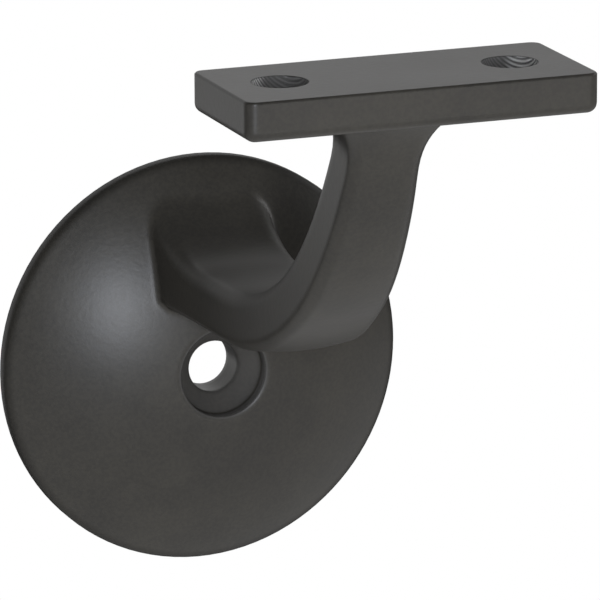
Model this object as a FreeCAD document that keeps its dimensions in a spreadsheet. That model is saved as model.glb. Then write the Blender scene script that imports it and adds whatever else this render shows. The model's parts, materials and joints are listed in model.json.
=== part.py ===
import FreeCAD, Part
import os
import math
import Sketcher

# Wall bracket for a handrail, one casting: a domed rose, a curved arm and a flat saddle plate.
# Frame in millimetres: Z up, X along the rail, the wall face at Y = 0 and the room at -Y.

os.makedirs("parts", exist_ok=True)
doc = FreeCAD.newDocument("HandrailBracket")

SIZES = [
    ("rose_diameter", 70.0),
    ("rose_edge", 2.4),
    ("rose_edge_bevel", 0.4),
    ("rose_height", 13.7),
    ("rose_rear_land", 5.0),
    ("relief_depth", 2.5),
    ("screw_hole_diameter", 8.8),
    ("screw_head_diameter", 15.0),
    ("screw_head_recess_floor", 11.2),
    ("screw_seat_floor", 8.2),
    ("plate_length", 58.0),
    ("plate_width", 25.0),
    ("plate_thickness", 6.4),
    ("plate_projection", 91.0),
    ("plate_top_height", 67.6),
    ("plate_corner_round", 1.8),
    ("plate_lower_round", 1.6),
    ("plate_top_bevel", 0.25),
    ("rail_hole_diameter", 8.8),
    ("rail_hole_spacing", 38.1),
    ("arm_axis_height", 16.15),
    ("arm_head_setback", 5.92),
    ("arm_head_drop", 7.68),
    ("arm_bend_radius", 45.0),
    ("arm_bend_angle", 51.0),
    ("arm_rise_angle", 19.0),
    ("arm_head_lean", 2.0),
    ("arm_thickness", 10.0),
    ("arm_root_width", 22.3),
    ("arm_head_width", 11.8),
    ("arm_upper_round", 2.0),
    ("root_upper_round", 4.5),
    ("arm_lower_bevel", 1.4),
    ("arm_crown_radius", 40.0),
    ("root_flare_reach", 25.0),
    ("scoop_rim_clearance", 3.85),
    ("root_flare_drop", 1.4),
    ("root_fillet_top", 4.0),
    ("root_fillet_side", 0.8),
    ("head_flare", 9.4),
    ("head_flare_rear", 1.5),
    ("cut_overrun", 2.0),
]

sheet = doc.addObject("Spreadsheet::Sheet", "Sizes")
for row, (alias, value) in enumerate(SIZES, start=1):
    sheet.set("A%d" % row, alias)
    sheet.set("B%d" % row, str(value))
    sheet.setAlias("B%d" % row, alias)
doc.recompute()

size = dict(SIZES)


def cell(alias):
    return "Sizes." + alias


def plane_of(body, role):
    return [feature for feature in body.Origin.OriginFeatures if feature.Role == role][0]


def new_body(name):
    body = doc.addObject("PartDesign::Body", name)
    return body


def new_sketch(body, name, role):
    sketch = body.newObject("Sketcher::SketchObject", name)
    sketch.AttachmentSupport = [(plane_of(body, role), "")]
    sketch.MapMode = "FlatFace"
    return sketch


def bind(sketch, index, name, expression):
    sketch.renameConstraint(index, name)
    sketch.setExpression("Constraints." + name, expression)


def point(x, y):
    return FreeCAD.Vector(x, y, 0.0)


ORIGIN = (-1, 1)
H_AXIS = ORIGIN[0]
V_AXIS = H_AXIS - 1
START, END, CENTRE = range(1, 4)
TOLERANCE = 0.01


def distance(sketch, kind, first, second, name, expression, value):
    index = sketch.addConstraint(Sketcher.Constraint(kind, first[0], first[1], second[0], second[1], value))
    bind(sketch, index, name, expression)


def radius(sketch, geometry, name, expression, value):
    index = sketch.addConstraint(Sketcher.Constraint("Radius", geometry, value))
    bind(sketch, index, name, expression)


# ---------------------------------------------------------------- rose
rose = new_body("Rose")

# Half section of the rose in the XY plane, turned about the Y axis.
rose_section = new_sketch(rose, "RoseSection", "XY_Plane")
rim_radius = size["rose_diameter"] / 2
edge = size["rose_edge"]
height = size["rose_height"]
cap_rise = height - edge
cap_radius = (rim_radius ** 2 + cap_rise ** 2) / (2 * cap_rise)
cap_centre = cap_radius - height
rim_angle = math.atan2(-edge - cap_centre, rim_radius)
rose_section.addGeometry(Part.LineSegment(point(0, 0), point(rim_radius, 0)), False)
rose_section.addGeometry(Part.LineSegment(point(rim_radius, 0), point(rim_radius, -edge)), False)
dome_circle = Part.Circle(point(0, cap_centre), FreeCAD.Vector(0, 0, 1), cap_radius)
rose_section.addGeometry(Part.ArcOfCircle(dome_circle, -math.pi / 2, rim_angle), False)
rose_section.addGeometry(Part.LineSegment(point(0, -height), point(0, 0)), False)
for constraint in (
    Sketcher.Constraint("Coincident", 0, START, -1, START),
    Sketcher.Constraint("Coincident", 0, END, 1, START),
    Sketcher.Constraint("Coincident", 1, END, 2, END),
    Sketcher.Constraint("Coincident", 2, START, 3, START),
    Sketcher.Constraint("Coincident", 3, END, 0, START),
    Sketcher.Constraint("Horizontal", 0),
    Sketcher.Constraint("Vertical", 1),
    Sketcher.Constraint("Vertical", 3),
    Sketcher.Constraint("PointOnObject", 2, CENTRE, V_AXIS),
):
    rose_section.addConstraint(constraint)
distance(rose_section, "DistanceX", ORIGIN, (0, END), "rim_radius",
         cell("rose_diameter") + " / 2", rim_radius)
distance(rose_section, "DistanceY", (1, END), ORIGIN, "edge", cell("rose_edge"), edge)
distance(rose_section, "DistanceY", (3, START), ORIGIN, "height", cell("rose_height"), height)
doc.recompute()

dome = rose.newObject("PartDesign::Revolution", "Dome")
dome.Profile = rose_section
dome.ReferenceAxis = (rose_section, ["V_Axis"])
dome.Angle = 360.0
doc.recompute()

# Groove section of the relief behind the rose, the screw hole and the recess for its head.
hole_section = new_sketch(rose, "HoleSection", "XY_Plane")
hole_r = size["screw_hole_diameter"] / 2
head_r = size["screw_head_diameter"] / 2
relief_r = rim_radius - size["rose_rear_land"]
relief = size["relief_depth"]
seat = size["screw_seat_floor"]
recess = size["screw_head_recess_floor"]
overrun = size["cut_overrun"]
outside = height + overrun
outline = [
    (0, overrun), (relief_r, overrun), (relief_r, -relief), (hole_r, -relief), (hole_r, -seat),
    (head_r, -recess), (head_r, -outside), (0, -outside),
]
for start, end in zip(outline, outline[1:] + outline[:1]):
    hole_section.addGeometry(Part.LineSegment(point(*start), point(*end)), False)
count = len(outline)
for number in range(count):
    hole_section.addConstraint(Sketcher.Constraint("Coincident", number, END, (number + 1) % count, START))
for number in (0, 2, 6):
    hole_section.addConstraint(Sketcher.Constraint("Horizontal", number))
for number in (1, 3, 5, 7):
    hole_section.addConstraint(Sketcher.Constraint("Vertical", number))
hole_section.addConstraint(Sketcher.Constraint("PointOnObject", 0, START, V_AXIS))
distance(hole_section, "DistanceY", ORIGIN, (0, START), "behind", cell("cut_overrun"), overrun)
distance(hole_section, "DistanceX", ORIGIN, (1, START), "relief_radius",
         cell("rose_diameter") + " / 2 - " + cell("rose_rear_land"), relief_r)
distance(hole_section, "DistanceY", (2, START), ORIGIN, "relief", cell("relief_depth"), relief)
distance(hole_section, "DistanceX", ORIGIN, (3, START), "hole_radius",
         cell("screw_hole_diameter") + " / 2", hole_r)
distance(hole_section, "DistanceY", (3, END), ORIGIN, "seat", cell("screw_seat_floor"), seat)
distance(hole_section, "DistanceX", ORIGIN, (5, START), "head_radius",
         cell("screw_head_diameter") + " / 2", head_r)
distance(hole_section, "DistanceY", (5, START), ORIGIN, "recess", cell("screw_head_recess_floor"), recess)
distance(hole_section, "DistanceY", (7, START), ORIGIN, "outside",
         cell("rose_height") + " + " + cell("cut_overrun"), outside)
doc.recompute()

screw_hole = rose.newObject("PartDesign::Groove", "ScrewHole")
screw_hole.Profile = hole_section
screw_hole.ReferenceAxis = (hole_section, ["V_Axis"])
screw_hole.Angle = 360.0
doc.recompute()


def edges_where(shape, test):
    names = []
    for number, item in enumerate(shape.Edges, start=1):
        if test(item):
            names.append("Edge%d" % number)
    return names


def is_ring(item, ring_radius, y):
    box = item.BoundBox
    flat = abs(box.YMin - y) < TOLERANCE and abs(box.YMax - y) < TOLERANCE
    return flat and abs(box.XMax - ring_radius) < TOLERANCE


rim_bevel = rose.newObject("PartDesign::Chamfer", "RimBevel")
rim_bevel.Base = (screw_hole, edges_where(screw_hole.Shape, lambda item: is_ring(item, rim_radius, -edge)))
rim_bevel.Size = size["rose_edge_bevel"]
rim_bevel.setExpression("Size", cell("rose_edge_bevel"))
doc.recompute()

# ---------------------------------------------------------------- saddle plate
plate = new_body("SaddlePlate")
plate_outline = new_sketch(plate, "PlateOutline", "XY_Plane")
half_length = size["plate_length"] / 2
half_width = size["plate_width"] / 2
middle = -size["plate_projection"]
corners = [
    (-half_length, middle - half_width), (half_length, middle - half_width),
    (half_length, middle + half_width), (-half_length, middle + half_width),
]
for start, end in zip(corners, corners[1:] + corners[:1]):
    plate_outline.addGeometry(Part.LineSegment(point(*start), point(*end)), False)
for number in range(4):
    plate_outline.addConstraint(Sketcher.Constraint("Coincident", number, END, (number + 1) % 4, START))
for number, kind in ((1, "Vertical"), (2, "Horizontal"), (3, "Vertical")):
    plate_outline.addConstraint(Sketcher.Constraint(kind, number))
plate_outline.addConstraint(Sketcher.Constraint("Symmetric", 0, START, 0, END, V_AXIS))
distance(plate_outline, "DistanceX", (0, START), (0, END), "length", cell("plate_length"), 2 * half_length)
distance(plate_outline, "DistanceY", (1, START), (1, END), "width", cell("plate_width"), 2 * half_width)
distance(plate_outline, "DistanceY", (2, START), ORIGIN, "rear",
         cell("plate_projection") + " - " + cell("plate_width") + " / 2", -middle - half_width)
plate_outline.AttachmentOffset = FreeCAD.Placement(
    FreeCAD.Vector(0, 0, size["plate_top_height"]), FreeCAD.Rotation())
plate_outline.setExpression(".AttachmentOffset.Base.z", cell("plate_top_height"))
doc.recompute()

slab = plate.newObject("PartDesign::Pad", "Slab")
slab.Profile = plate_outline
slab.Length = size["plate_thickness"]
slab.setExpression("Length", cell("plate_thickness"))
slab.Reversed = True
doc.recompute()


def is_upright(item):
    box = item.BoundBox
    return box.ZMax - box.ZMin > 1.0 and box.XMax - box.XMin < TOLERANCE and box.YMax - box.YMin < TOLERANCE


def at_height(item, z):
    box = item.BoundBox
    return abs(box.ZMin - z) < TOLERANCE and abs(box.ZMax - z) < TOLERANCE


corner_round = plate.newObject("PartDesign::Fillet", "CornerRound")
corner_round.Base = (slab, edges_where(slab.Shape, is_upright))
corner_round.Radius = size["plate_corner_round"]
corner_round.setExpression("Radius", cell("plate_corner_round"))
doc.recompute()

plate_under = size["plate_top_height"] - size["plate_thickness"]
lower_round = plate.newObject("PartDesign::Fillet", "LowerRound")
lower_round.Base = (corner_round, edges_where(corner_round.Shape, lambda item: at_height(item, plate_under)))
lower_round.Radius = size["plate_lower_round"]
lower_round.setExpression("Radius", cell("plate_lower_round"))
doc.recompute()

top_bevel = plate.newObject("PartDesign::Chamfer", "TopBevel")
plate_top = size["plate_top_height"]
top_bevel.Base = (lower_round, edges_where(lower_round.Shape, lambda item: at_height(item, plate_top)))
top_bevel.Size = size["plate_top_bevel"]
top_bevel.setExpression("Size", cell("plate_top_bevel"))
doc.recompute()

rail_holes = new_sketch(plate, "RailHoleCentres", "XY_Plane")
half_spacing = size["rail_hole_spacing"] / 2
rail_hole_r = size["rail_hole_diameter"] / 2
for side in (-1, 1):
    centre = point(side * half_spacing, middle)
    rail_holes.addGeometry(Part.Circle(centre, FreeCAD.Vector(0, 0, 1), rail_hole_r), False)
rail_holes.addConstraint(Sketcher.Constraint("Symmetric", 0, CENTRE, 1, CENTRE, V_AXIS))
rail_holes.addConstraint(Sketcher.Constraint("Equal", 0, 1))
radius(rail_holes, 0, "hole_radius", cell("rail_hole_diameter") + " / 2", rail_hole_r)
distance(rail_holes, "DistanceX", (0, CENTRE), (1, CENTRE), "spacing",
         cell("rail_hole_spacing"), 2 * half_spacing)
distance(rail_holes, "DistanceY", (0, CENTRE), ORIGIN, "projection", cell("plate_projection"), -middle)
rail_holes.AttachmentOffset = FreeCAD.Placement(
    FreeCAD.Vector(0, 0, size["plate_top_height"]), FreeCAD.Rotation())
rail_holes.setExpression(".AttachmentOffset.Base.z", cell("plate_top_height"))
doc.recompute()

drilled = plate.newObject("PartDesign::Pocket", "RailHoles")
drilled.Profile = rail_holes
drilled.Type = "Length"
drilled.Length = size["plate_thickness"] + overrun
drilled.setExpression("Length", cell("plate_thickness") + " + " + cell("cut_overrun"))
doc.recompute()

# ---------------------------------------------------------------- arm
arm = new_body("Arm")


def arm_section(name, y_expr, z_expr, tilt_expr, width_expr, depth_expr, round_expr):
    """A section with round inner and bevelled outer corners, crowned on its outer side.

    Its plane is turned about X by the tilt.
    """
    sketch = new_sketch(arm, name, "XY_Plane")
    w = 8.0
    d = 5.0
    upper = 2.0
    bevel = 1.5
    crown = 40.0
    crown_centre = crown - d
    lean = math.asin((w - bevel) / crown)
    low_y = crown_centre - crown * math.cos(lean)
    up = math.pi / 2
    axis = FreeCAD.Vector(0, 0, 1)
    top = Part.LineSegment(point(w - upper, d), point(-w + upper, d))
    top_left = Part.ArcOfCircle(Part.Circle(point(-w + upper, d - upper), axis, upper), up, 2 * up)
    left = Part.LineSegment(point(-w, d - upper), point(-w, low_y + bevel))
    low_left = Part.LineSegment(point(-w, low_y + bevel), point(-w + bevel, low_y))
    bottom = Part.ArcOfCircle(Part.Circle(point(0, crown_centre), axis, crown), -up - lean, -up + lean)
    low_right = Part.LineSegment(point(w - bevel, low_y), point(w, low_y + bevel))
    right = Part.LineSegment(point(w, low_y + bevel), point(w, d - upper))
    top_right = Part.ArcOfCircle(Part.Circle(point(w - upper, d - upper), axis, upper), 0, up)
    for item in (top, top_left, left, low_left, bottom, low_right, right, top_right):
        sketch.addGeometry(item, False)
    for number, following in ((0, 1), (1, 2), (6, 7), (7, 0)):
        sketch.addConstraint(Sketcher.Constraint("Tangent", number, END, following, START))
    for number in (2, 3, 4, 5):
        sketch.addConstraint(Sketcher.Constraint("Coincident", number, END, number + 1, START))
    sketch.addConstraint(Sketcher.Constraint("Horizontal", 0))
    sketch.addConstraint(Sketcher.Constraint("Vertical", 2))
    sketch.addConstraint(Sketcher.Constraint("Vertical", 6))
    sketch.addConstraint(Sketcher.Constraint("Equal", 1, 7))
    sketch.addConstraint(Sketcher.Constraint("Symmetric", 4, START, 4, END, V_AXIS))
    sketch.addConstraint(Sketcher.Constraint("PointOnObject", 4, CENTRE, V_AXIS))
    half = "(" + width_expr + ") / 2"
    deep = "(" + depth_expr + ") / 2"
    distance(sketch, "DistanceX", ORIGIN, (6, START), "half_right", half, w)
    distance(sketch, "DistanceX", (2, START), ORIGIN, "half_left", half, w)
    distance(sketch, "DistanceY", ORIGIN, (0, START), "inner", deep, d)
    radius(sketch, 7, "upper_round", round_expr, upper)
    radius(sketch, 4, "crown_radius", cell("arm_crown_radius"), crown)
    distance(sketch, "DistanceX", (3, START), (3, END), "bevel_across", cell("arm_lower_bevel"), bevel)
    distance(sketch, "DistanceY", (3, END), (3, START), "bevel_left", cell("arm_lower_bevel"), bevel)
    distance(sketch, "DistanceY", (5, START), (5, END), "bevel_right", cell("arm_lower_bevel"), bevel)
    distance(sketch, "DistanceY", ORIGIN, (4, CENTRE), "crown_centre",
             cell("arm_crown_radius") + " - " + deep, crown_centre)
    sketch.AttachmentOffset = FreeCAD.Placement(
        FreeCAD.Vector(0, -1, 1), FreeCAD.Rotation(FreeCAD.Vector(1, 0, 0), 1))
    sketch.setExpression(".AttachmentOffset.Base.y", y_expr)
    sketch.setExpression(".AttachmentOffset.Base.z", z_expr)
    sketch.setExpression(".AttachmentOffset.Rotation.Angle", "(" + tilt_expr + ") * 1 deg")
    doc.recompute()
    return sketch


bend_r = cell("arm_bend_radius")
bend = cell("arm_bend_angle")
rise = cell("arm_rise_angle")
full = "(%s + %s)" % (bend, rise)
axis_z = cell("arm_axis_height")
thick = cell("arm_thickness")
root_w = cell("arm_root_width")
head_w = cell("arm_head_width")
lean = cell("arm_head_lean")
plate_z = "(%s - %s)" % (cell("plate_top_height"), cell("plate_thickness"))

# The two tangent arcs of the arm's centre line end below the plate and behind its middle,
# so the upper arc takes its radius from the plate's height and the straight root its length
# from the plate's projection.
bend_rise = "%s * (1 - cos(%s * 1 deg))" % (bend_r, bend)
rise_height = "(%s - %s - %s - %s)" % (plate_z, cell("arm_head_drop"), axis_z, bend_rise)
rise_r = "(%s / (cos(%s * 1 deg) - cos(%s * 1 deg)))" % (rise_height, bend, full)
head_y = "(%s - %s - %s)" % (cell("plate_projection"), cell("arm_head_setback"), lean)
bend_reach = "%s * sin(%s * 1 deg)" % (bend_r, bend)
rise_reach = "%s * (sin(%s * 1 deg) - sin(%s * 1 deg))" % (rise_r, full, bend)
straight = "(%s - %s - %s)" % (head_y, bend_reach, rise_reach)
bend_end_y = "(%s - %s)" % (head_y, rise_reach)
bend_end_z = "(%s + %s)" % (axis_z, bend_rise)
bend_length = "%s * %s * pi / 180" % (bend_r, bend)
rise_length = "%s * %s * pi / 180" % (rise_r, rise)
arc_length = "(%s + %s + %s)" % (straight, bend_length, rise_length)


def width_at(run):
    return "%s + (%s - %s) * (1 - (%s) / %s)" % (head_w, root_w, head_w, run, arc_length)


sections = []
flare_reach = cell("root_flare_reach")
flare_rise = "(%s / 2 - %s - %s - %s / 2)" % (
    cell("rose_diameter"), cell("scoop_rim_clearance"), axis_z, thick)
flare_drop = cell("root_flare_drop")
inner_round = cell("arm_upper_round")

# Straight root: near the wall its upper face sweeps up into the dome and its lower face a little down.
for number, share in enumerate((0.084, 0.25, 0.4, 0.54, 0.68, 0.84)):
    near = "(%s * %g)" % (straight, share)
    fade = "max(0; 1 - (%s - 3) / %s)" % (near, flare_reach)
    climb = "(%s * (%s) ^ 2.2)" % (flare_rise, fade)
    drop = "(%s * (%s) ^ 2.2)" % (flare_drop, fade)
    sections.append(arm_section(
        "RootSection%d" % (number + 1),
        "-1 * " + near, "%s + (%s - %s) / 2" % (axis_z, climb, drop), "90", width_at(near),
        "%s + %s + %s" % (thick, climb, drop),
        "%s + (%s - %s) * %s" % (inner_round, cell("root_upper_round"), inner_round, fade)))

# Lower bend.
for number, share in enumerate((0.02, 0.2, 0.4, 0.6, 0.8, 1.0)):
    turn = "(%s * %g)" % (bend, share)
    sections.append(arm_section(
        "BendSection%d" % (number + 1),
        "-1 * (%s + %s * sin(%s * 1 deg))" % (straight, bend_r, turn),
        "%s + %s * (1 - cos(%s * 1 deg))" % (axis_z, bend_r, turn),
        "90 - " + turn, width_at("%s + %s * %g" % (straight, bend_length, share)), thick, inner_round))

# Upper, gentler bend.
for number, share in enumerate((0.4, 0.8)):
    turn = "(%s + %s * %g)" % (bend, rise, share)
    run = "%s + %s + %s * %g" % (straight, bend_length, rise_length, share)
    sections.append(arm_section(
        "RiseSection%d" % (number + 1),
        "-1 * (%s + %s * (sin(%s * 1 deg) - sin(%s * 1 deg)))" % (bend_end_y, rise_r, turn, bend),
        "%s + %s * (cos(%s * 1 deg) - cos(%s * 1 deg))" % (bend_end_z, rise_r, bend, turn),
        "90 - " + turn, width_at(run), thick, inner_round))

# Head: the arm spreads into the underside of the plate, mostly to the sides and the front.
spread = cell("head_flare")
spread_rear = cell("head_flare_rear")
for number, (angle, upright) in enumerate(((20, 0.33), (54, 1.0), (77, 1.0))):
    out = "(%s * (1 - cos(%d deg)))" % (spread, angle)
    out_rear = "(%s * (1 - cos(%d deg)))" % (spread_rear, angle)
    lower = "(%s * (1 - sin(%d deg)))" % (spread, angle)
    lean_y = "(%s * (1 - %s / %s))" % (lean, lower, spread)
    sections.append(arm_section(
        "HeadSection%d" % (number + 1),
        "-1 * (%s + %s + (%s - %s) / 2)" % (head_y, lean_y, out, out_rear),
        "%s - %s + %s * (1 - sin(70 deg))" % (plate_z, lower, spread),
        "(90 - %s) * (1 - %g)" % (full, upright),
        "%s + 2 * %s" % (head_w, out), "%s + %s + %s" % (thick, out, out_rear), inner_round))

arm_loft = arm.newObject("PartDesign::AdditiveLoft", "ArmLoft")
arm_loft.Profile = sections[0]
arm_loft.Sections = sections[1:]
arm_loft.Ruled = False
doc.recompute()

# ---------------------------------------------------------------- one casting
joined = doc.addObject("Part::MultiFuse", "Joined")
joined.Shapes = [rose, arm, plate]
joined.Refine = True
doc.recompute()


def root_edges(shape):
    """The edges where the arm's root stands on the dome."""
    for number, item in enumerate(shape.Edges, start=1):
        kinds = [face.Surface.TypeId for face in shape.ancestorsOfType(item, Part.Face)]
        on_dome = "Part::GeomSphere" in kinds and "Part::GeomBSplineSurface" in kinds
        if on_dome and item.Length < 2 * rim_radius:
            yield number, item


# The root runs into the dome with a fillet that is wide above and narrow at the sides and below.
def fillet_at(vertex):
    wide = vertex.Z > size["arm_axis_height"] + size["arm_thickness"]
    return size["root_fillet_top"] if wide else size["root_fillet_side"]


bracket = doc.addObject("Part::Fillet", "bracket")
bracket.Base = joined
bracket.Edges = [
    (number, fillet_at(item.Vertexes[0]), fillet_at(item.Vertexes[-1]))
    for number, item in root_edges(joined.Shape)
]
bracket.Label = "bracket"
doc.recompute()

for item in doc.Objects:
    if "Invalid" in item.State or "Error" in item.State:
        raise RuntimeError("%s is in state %s" % (item.Name, item.State))
    shape = getattr(item, "Shape", None)
    solid_feature = shape is not None and item.isDerivedFrom("PartDesign::Feature")
    if solid_feature and (shape.isNull() or not shape.isValid()):
        raise RuntimeError("%s has no valid shape" % item.Name)

solid = bracket.Shape
if solid.isNull() or not solid.isValid() or len(solid.Solids) != 1:
    raise RuntimeError("the casting is not one valid solid")
print("volume", solid.Volume, "box", solid.BoundBox)

solid.Solids[0].exportStep("parts/bracket.step")
doc.recompute()
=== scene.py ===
import json
import math

import bpy
from mathutils import Matrix, Vector


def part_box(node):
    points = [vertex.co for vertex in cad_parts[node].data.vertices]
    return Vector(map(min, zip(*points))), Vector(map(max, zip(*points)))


# Looks of the handrail bracket: one dark coated casting on a pale studio stage.
# Metres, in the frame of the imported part: Z up, X along the rail, the wall at Y = 0.

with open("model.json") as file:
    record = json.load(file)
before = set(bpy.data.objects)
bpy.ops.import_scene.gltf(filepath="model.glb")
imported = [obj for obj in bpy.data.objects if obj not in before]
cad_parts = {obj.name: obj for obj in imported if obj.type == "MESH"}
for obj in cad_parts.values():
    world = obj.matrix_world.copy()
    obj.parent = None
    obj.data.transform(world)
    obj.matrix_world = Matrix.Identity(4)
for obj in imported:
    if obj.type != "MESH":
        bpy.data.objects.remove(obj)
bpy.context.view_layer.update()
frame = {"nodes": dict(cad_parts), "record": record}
bracket = frame["nodes"]["bracket"]
low, high = (Vector(corner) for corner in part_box("bracket"))
MM = 0.001
mounts = {mount["name"]: mount for mount in frame["record"]["mounts"]}
rail_screws = mounts["rail_screws"]
rail_hole_offset = rail_screws["dims"]["spacing_x_mm"] / 2 * MM
rail_hole_radius = rail_screws["dims"]["hole_r_mm"] * MM
plate_projection = -rail_screws["pos_m"][1]
rose_radius = high.x

# Sizes that the record doesn't hold, and where the masks below start and end. Distances out from the wall
# are counted along -Y.
PLATE_THICKNESS = 6.4 * MM
HEAD_RECESS_RADIUS = 7.5 * MM
SEAT_START, SEAT_END = 8.0 * MM, 12.5 * MM
RECESS_RIM_START, RECESS_RIM_END = 11.5 * MM, 14 * MM
ROSE_RIM_OUT = 5 * MM
HEEL_OUT = 30 * MM

# ---------------------------------------------------------------- shader helpers


class Value:
    """A number socket that can be added, subtracted and multiplied in a material."""

    def __init__(self, build, socket):
        self.build = build
        self.socket = socket

    def __add__(self, other):
        return self.build.maths("ADD", self, other)

    __radd__ = __add__

    def __mul__(self, other):
        return self.build.maths("MULTIPLY", self, other)

    __rmul__ = __mul__

    def __sub__(self, other):
        return self.build.maths("SUBTRACT", self, other)

    def __rsub__(self, other):
        return self.build.maths("SUBTRACT", other, self)


class Build:
    """Adds nodes to one new material or world."""

    def __init__(self, owner):
        self.owner = owner
        owner.use_nodes = True
        self.tree = owner.node_tree
        self.tree.nodes.clear()

    def node(self, kind, settings=None, **sockets):
        item = self.tree.nodes.new(kind)
        for key, setting in (settings or {}).items():
            setattr(item, key, setting)
        for key, value in sockets.items():
            place = key.replace("_", " ")
            slot = item.inputs[int(place[2:])] if place.startswith("at") else item.inputs[place]
            if isinstance(value, Value):
                value = value.socket
            if isinstance(value, bpy.types.NodeSocket):
                self.tree.links.new(value, slot)
            else:
                slot.default_value = value
        return item

    def maths(self, operation, first, second):
        item = self.node("ShaderNodeMath", {"operation": operation}, at0=first, at1=second)
        return Value(self, item.outputs[0])

    def noise(self, coordinates, scale, detail, roughness=0.5):
        item = self.node("ShaderNodeTexNoise", Vector=coordinates, Scale=scale, Detail=detail,
                         Roughness=roughness)
        return Value(self, item.outputs["Fac"])

    def span(self, value, start, end, low_to, high_to):
        item = self.node("ShaderNodeMapRange", {"interpolation_type": "SMOOTHSTEP"}, Value=value,
                         From_Min=start, From_Max=end, To_Min=low_to, To_Max=high_to)
        return Value(self, item.outputs[0])

    def turned(self, first, second):
        """Nought where two unit directions agree, more as they part."""
        item = self.node("ShaderNodeVectorMath", {"operation": "DOT_PRODUCT"}, at0=first, at1=second)
        return 1 - Value(self, item.outputs["Value"])

    def blend(self, share, first, second):
        item = self.node("ShaderNodeMix", {"data_type": "RGBA"}, at0=share, at6=first, at7=second)
        return item.outputs[2]


# ---------------------------------------------------------------- finishes


def regions(build, place):
    """Strengths of the painted shade on the rose's rim, the plate, the painted highlight and painted light in
    the screw recess, and the painted highlight on the arm's heel.
    """
    split = build.node("ShaderNodeSeparateXYZ", Vector=place).outputs
    across, out, up = (Value(build, split[axis]) for axis in "XYZ")
    radius = build.maths("SQRT", across * across + up * up, 0.0)
    # Painted shade: a dark band around the rose's rim.
    rose = build.span(radius, rose_radius - 1.6 * MM, rose_radius - 0.2 * MM, 0.0, 0.45)
    rose = rose * build.maths("GREATER_THAN", out, -ROSE_RIM_OUT)
    underside = high.z - PLATE_THICKNESS
    plate = build.span(up, underside - 0.4 * MM, underside, 0.0, 1.0)
    rim = HEAD_RECESS_RADIUS
    # Painted highlight: a faint light ring round the screw recess's rim.
    recess = build.span(radius, rim - 0.08 * MM, rim, 0.0, 1.0)
    recess = recess * build.span(radius, rim + 0.1 * MM, rim + 0.6 * MM, 1.0, 0.0)
    recess = 0.2 * recess * build.maths("LESS_THAN", out, -RECESS_RIM_START)
    recess = recess * build.maths("GREATER_THAN", out, -RECESS_RIM_END)
    # Painted light: the seat inside the screw recess is lightened where the arm shades it.
    seat = build.span(radius, rim - 0.3 * MM, rim - 0.05 * MM, 0.15, 0.0)
    seat = seat * build.maths("LESS_THAN", out, -SEAT_START)
    seat = seat * build.maths("GREATER_THAN", out, -SEAT_END)
    recess = build.maths("MAXIMUM", recess, seat)
    # Painted highlight: the arm's lower right arris towards its heel.
    heel = build.span(across, 3 * MM, 5 * MM, 0.0, 1.0) * build.span(up, 22 * MM, 32 * MM, 1.0, 0.0)
    heel = heel * build.maths("LESS_THAN", out, -HEEL_OUT)
    return rose, plate, recess, heel


def hole_walls(build, place, face):
    """The bare walls of the two rail holes, and a painted glint that brightens their ridges towards the
    plate's ends.
    """
    split = build.node("ShaderNodeSeparateXYZ", Vector=place).outputs
    slope = build.node("ShaderNodeSeparateXYZ", Vector=face).outputs["Z"]
    across = build.maths("ABSOLUTE", split["X"], 0.0) - rail_hole_offset
    along = Value(build, split["Y"]) + plate_projection
    away = build.maths("SQRT", across * across + along * along, 0.0)
    inside = build.maths("LESS_THAN", away, rail_hole_radius + 0.03 * MM)
    upright = build.maths("LESS_THAN", build.maths("ABSOLUTE", slope, 0.0), 0.5)
    # Painted glint: the walls' ridges are lighter towards the plate's ends.
    painted_glint = build.span(across, 0.5 * MM, 2.5 * MM, 0.15, 1.0)
    return inside * upright, painted_glint


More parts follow.
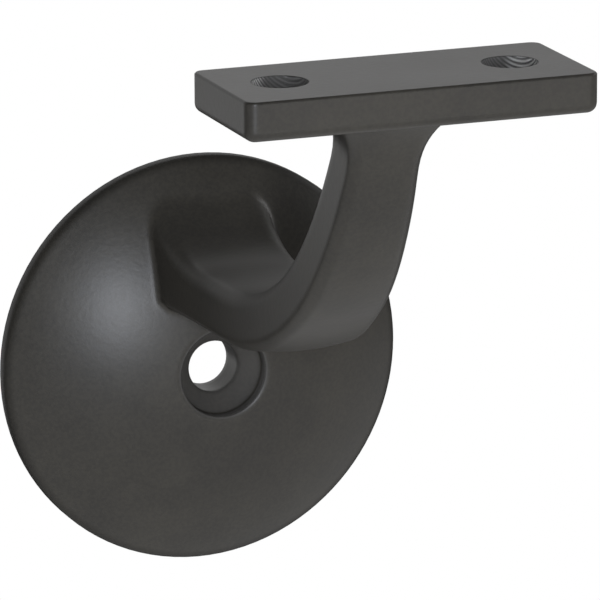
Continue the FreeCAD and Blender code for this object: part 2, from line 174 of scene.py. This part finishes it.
def dark_coating():
    """Satin bronze-black powder coat on a casting.

    The normals run softly over every arris, least on the plate. The coat has a faint mottle, a fine grain
    and an orange peel. Painted shade darkens sharp arrises and the rose's rim, painted highlights lighten the
    screw recess's rim and the arm's heel, and painted light lightens the recess's seat. The rail holes' walls
    are bare ridged metal, with a painted glint on their ridges towards the plate's ends.
    """
    build = Build(bpy.data.materials.new("dark_coating"))
    place = build.node("ShaderNodeTexCoord").outputs["Object"]
    face = build.node("ShaderNodeNewGeometry").outputs["Normal"]
    crisp = build.node("ShaderNodeBevel", {"samples": 8}, Radius=0.5 * MM).outputs[0]
    soft = build.node("ShaderNodeBevel", {"samples": 8}, Radius=1.6 * MM).outputs[0]
    rose, plate, recess, heel = regions(build, place)
    softened = build.node("ShaderNodeMix", {"data_type": "VECTOR"}, at0=plate, at4=soft, at5=crisp).outputs[1]
    # Painted shade: a near-black diffuse shader is mixed in along sharp arrises and round the rose's rim.
    sharp = build.span(build.turned(face, crisp), 0.09, 0.2, 0.0, 0.65)
    painted_shade = build.maths("MAXIMUM", sharp, rose)
    # Painted highlights on the arm's heel arris and the recess's rim, and painted light on the seat, lighten
    # the coat.
    painted_light = build.span(build.turned(face, soft), 0.03, 0.12, 0.0, 1.0) * heel
    painted_light = build.maths("MAXIMUM", painted_light, recess)
    mottle = build.noise(place, 60, 5, 0.6)
    grain = build.noise(place, 1600, 2)
    peel = build.noise(place, 900, 3, 0.6)
    tone = 0.6 * build.span(mottle, 0.3, 0.7, 0.0, 1.0) + 0.4 * build.span(grain, 0.35, 0.65, 0.0, 1.0)
    body = build.blend(tone, (0.020, 0.0184, 0.0158, 1), (0.0325, 0.0295, 0.0238, 1))
    bare, painted_glint = hole_walls(build, place, face)
    ridge = build.node("ShaderNodeTexWave", {"bands_direction": "DIAGONAL"}, Vector=place, Scale=850,
                       Distortion=1.5, Detail=2, Detail_Scale=300)
    ridge = bare * Value(build, ridge.outputs["Fac"])
    # Bare metal, with the painted glint lightening its ridges.
    metal = build.blend(ridge * painted_glint, (0.10, 0.098, 0.094, 1), (0.6, 0.59, 0.57, 1))
    # The coat lightened by the painted light, then the bare hole walls.
    colour = build.blend(bare, build.blend(painted_light, body, (0.17, 0.165, 0.16, 1)), metal)
    roughness = 0.35 + 0.06 * mottle + 0.05 * grain
    bump = build.node("ShaderNodeBump", Strength=0.2, Distance=0.12 * MM, Height=peel, Normal=softened)
    bump = build.node("ShaderNodeBump", Strength=0.8, Distance=0.3 * MM, Height=ridge, Normal=bump.outputs[0])
    coat = build.node("ShaderNodeBsdfPrincipled", Base_Color=colour, Roughness=roughness, Metallic=0.4 * bare,
                      Normal=bump.outputs[0])
    coat.inputs["IOR"].default_value = 1.34
    # The near-black colour of the painted shade.
    painted_shade_shader = build.node("ShaderNodeBsdfDiffuse", Color=(0.012, 0.0115, 0.01, 1))
    shader = build.node("ShaderNodeMixShader", at0=painted_shade, at1=coat.outputs[0], at2=painted_shade_shader.outputs[0])
    build.node("ShaderNodeOutputMaterial", Surface=shader.outputs[0])
    return build.owner


def stage_finish(name, grey):
    """A matt stage surface that the camera and mirror-like reflections see as plain white."""
    build = Build(bpy.data.materials.new(name))
    path = build.node("ShaderNodeLightPath").outputs
    seen = build.maths("MAXIMUM", path["Is Camera Ray"], path["Is Glossy Ray"])
    seen = build.maths("MAXIMUM", seen, path["Is Transmission Ray"])
    matt = build.node("ShaderNodeBsdfDiffuse", Color=(grey, grey, grey, 1))
    white = build.node("ShaderNodeEmission", Color=(1, 1, 1, 1), Strength=1.0)
    mixed = build.node("ShaderNodeMixShader", at0=seen, at1=matt.outputs[0], at2=white.outputs[0])
    build.node("ShaderNodeOutputMaterial", Surface=mixed.outputs[0])
    return build.owner


bracket.data.materials.clear()
bracket.data.materials.append(dark_coating())

# ---------------------------------------------------------------- stage, light and camera


def stage_plane(name, width, depth, place, tilt, finish):
    bpy.ops.object.select_all(action="DESELECT")
    bpy.ops.mesh.primitive_plane_add(size=1, location=place, rotation=(tilt, 0, 0))
    plane = bpy.context.object
    plane.name = name
    plane.scale = (width, depth, 1)
    plane.data.materials.append(finish)
    return plane


FLOOR_DROP = 0.4
BACKDROP_HEIGHT = 1.7
BACKDROP_PLACE = 2.2
CARD_HEIGHT = 0.8
pale = stage_finish("stage_white", 0.9)
stage_plane("floor", 7, 3.2, (-1, -1.33, low.z - FLOOR_DROP), 0, pale)
stage_plane("backdrop", 6, BACKDROP_HEIGHT, (0, BACKDROP_PLACE, BACKDROP_HEIGHT / 2), math.pi / 2, pale)
stage_plane("low_card", 3.2, CARD_HEIGHT, (-1.5, BACKDROP_PLACE, -CARD_HEIGHT / 2), math.pi / 2, pale)


def softbox(name, place, aim, width, height, power, colour=(1, 1, 1)):
    lamp = bpy.data.lights.new(name, "AREA")
    lamp.shape = "RECTANGLE"
    lamp.size = width
    lamp.size_y = height
    lamp.energy = power
    lamp.color = colour
    holder = bpy.data.objects.new(name, lamp)
    holder.location = place
    holder.rotation_euler = (Vector(aim) - Vector(place)).to_track_quat("-Z", "Y").to_euler()
    bpy.context.scene.collection.objects.link(holder)
    return holder


softbox("key_light", (-0.36, -1.30, 0.24), (0, 0, 0), 0.13, 0.44, 18.5, (0.88, 0.92, 1.0))
softbox("back_light", (0.25, 1.0, 0.84), (0, 0, 0), 0.5, 0.25, 0.45)
softbox("right_light", (1.3, 0.1, 0.6), (0, 0, 0), 0.5, 0.5, 4.0)
softbox("low_front_light", (0.43, -1.15, -0.20), (0, 0, 0), 0.45, 0.2, 1.3, (1.0, 0.97, 0.93))


def studio_world():
    """White to the camera, a plain soft grey to everything else."""
    world = bpy.data.worlds.new("studio")
    build = Build(world)
    path = build.node("ShaderNodeLightPath").outputs
    soft = build.node("ShaderNodeBackground", Color=(1, 1, 1, 1), Strength=0.17)
    white = build.node("ShaderNodeBackground", Color=(1, 1, 1, 1), Strength=1.0)
    mixed = build.node("ShaderNodeMixShader", at0=path["Is Camera Ray"], at1=soft.outputs[0],
                       at2=white.outputs[0])
    build.node("ShaderNodeOutputWorld", Surface=mixed.outputs[0])
    return world


bpy.context.scene.world = studio_world()

AIM = Vector((7.59, -30.0, 15.92)) * MM
AZIMUTH = math.radians(-20.87)
ELEVATION = math.radians(14.46)
ROLL = math.radians(-0.21)
DISTANCE = 1082.46 * MM
camera_data = bpy.data.cameras.new("camera")
camera_data.lens = 394.1
camera_data.sensor_width = 36
camera_data.shift_x = -0.0025
camera_data.shift_y = 0.0005
camera = bpy.data.objects.new("camera", camera_data)
turn = Matrix.Rotation(AZIMUTH, 4, "Z") @ Matrix.Rotation(math.pi / 2 - ELEVATION, 4, "X")
camera.matrix_world = (Matrix.Translation(AIM) @ turn @ Matrix.Translation((0, 0, DISTANCE))
                       @ Matrix.Rotation(ROLL, 4, "Z"))
bpy.context.scene.collection.objects.link(camera)
bpy.context.scene.camera = camera
bpy.context.scene.view_settings.view_transform = "Standard"
